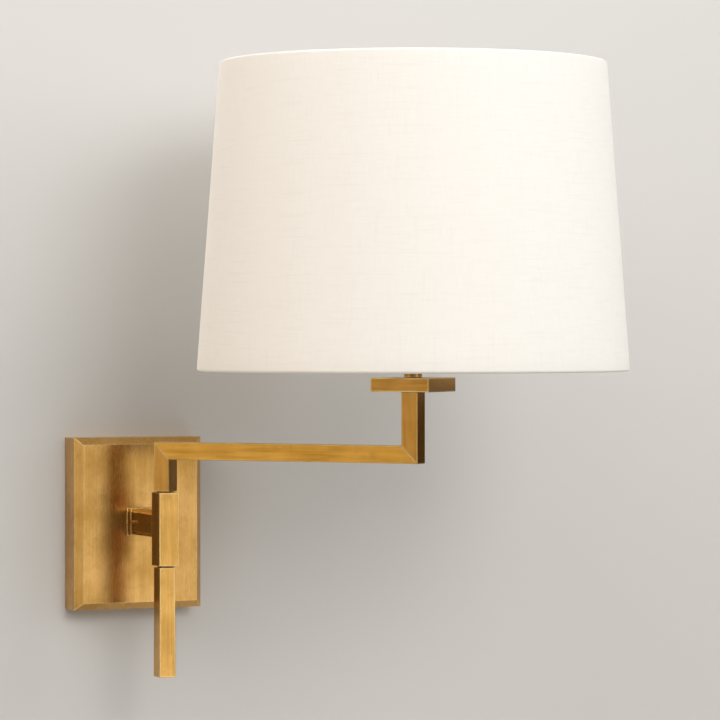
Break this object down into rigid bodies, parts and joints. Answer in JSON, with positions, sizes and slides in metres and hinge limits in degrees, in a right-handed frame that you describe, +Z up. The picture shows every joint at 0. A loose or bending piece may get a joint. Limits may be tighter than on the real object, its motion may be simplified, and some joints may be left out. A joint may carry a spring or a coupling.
{
  "type": "swing arm wall sconce",
  "caption": "Swing arm wall sconce: bevelled brass backplate, square stem and pivot block with a hanging bar, mitred square arm and a tapered linen drum shade over a lampholder.",
  "frame": {"origin": "centre of the face that meets the wall, at the middle of the backplate", "axes": "+Y into the wall, so the sconce stands out towards -Y; +Z up; +X to the right as seen from the room"},
  "size_m": [0.3313, 0.3851, 0.4444],
  "materials": {
    "antique_brass": "aged satin brass, brushed and lacquered",
    "turned_brass": "turned brass, satin",
    "zinc_steel": "zinc plated",
    "nylon": "moulded, natural",
    "terminal_plastic": "moulded, white",
    "porcelain": "glazed",
    "flex_sheath": "soft sheath, gold",
    "bulb_metal": "pressed",
    "opal_glass": "opal, frosted",
    "linen": "fine off-white linen on a stiff liner",
    "white_wire": "white powder coat"
  },
  "bodies": {
    "wall_mount": {"backplate": "antique_brass", "wall_strap": "zinc_steel", "cover_screw_top": "turned_brass", "cover_screw_bottom": "turned_brass", "terminal_block": "terminal_plastic", "terminal_screw_line": "turned_brass", "terminal_screw_neutral": "turned_brass", "terminal_screw_earth": "turned_brass", "earth_screw": "turned_brass", "stem_flange": "antique_brass", "stem_collar": "antique_brass", "stem": "antique_brass", "stem_lock_screw": "turned_brass", "stem_nipple": "zinc_steel", "stem_washer": "zinc_steel", "stem_nut": "zinc_steel", "pivot_block": "antique_brass", "upper_bush": "nylon", "lower_bush": "nylon", "bar_plug": "turned_brass", "bar_spacer": "turned_brass", "lower_bar": "antique_brass", "feed_flex": "flex_sheath"},
    "swing_arm": {"pivot_spindle": "turned_brass", "thrust_washer": "turned_brass", "spring_washer": "zinc_steel", "lock_nut": "zinc_steel", "inner_post": "antique_brass", "arm_tube": "antique_brass", "end_post": "antique_brass", "arm_flex": "flex_sheath", "cup_plate": "antique_brass", "neck_sleeve": "antique_brass", "lamp_nipple": "zinc_steel", "holder_nut": "zinc_steel", "holder_cap": "turned_brass", "holder_body": "turned_brass", "holder_insert": "porcelain", "screw_shell": "turned_brass", "centre_contact": "turned_brass", "bulb_cap": "bulb_metal", "bulb_globe": "opal_glass", "shade_ring": "turned_brass"},
    "shade": {"shade_cover": "linen", "bottom_wire_ring": "white_wire", "top_wire_ring": "white_wire", "fitter_ring": "white_wire", "fitter_spoke_1": "white_wire", "fitter_spoke_2": "white_wire", "fitter_spoke_3": "white_wire"}
  },
  "joints": [
    {"name": "arm_swing", "type": "hinge", "parent": "wall_mount", "child": "swing_arm", "pos_m": [0, -0.0761, 0], "axis": [0, 0, 1], "range_deg": [-105, 26]},
    {"name": "shade_turn", "type": "hinge", "parent": "swing_arm", "child": "shade", "pos_m": [0.12731, -0.23164, 0.115], "axis": [0, 0, 1], "continuous": true}
  ]
}
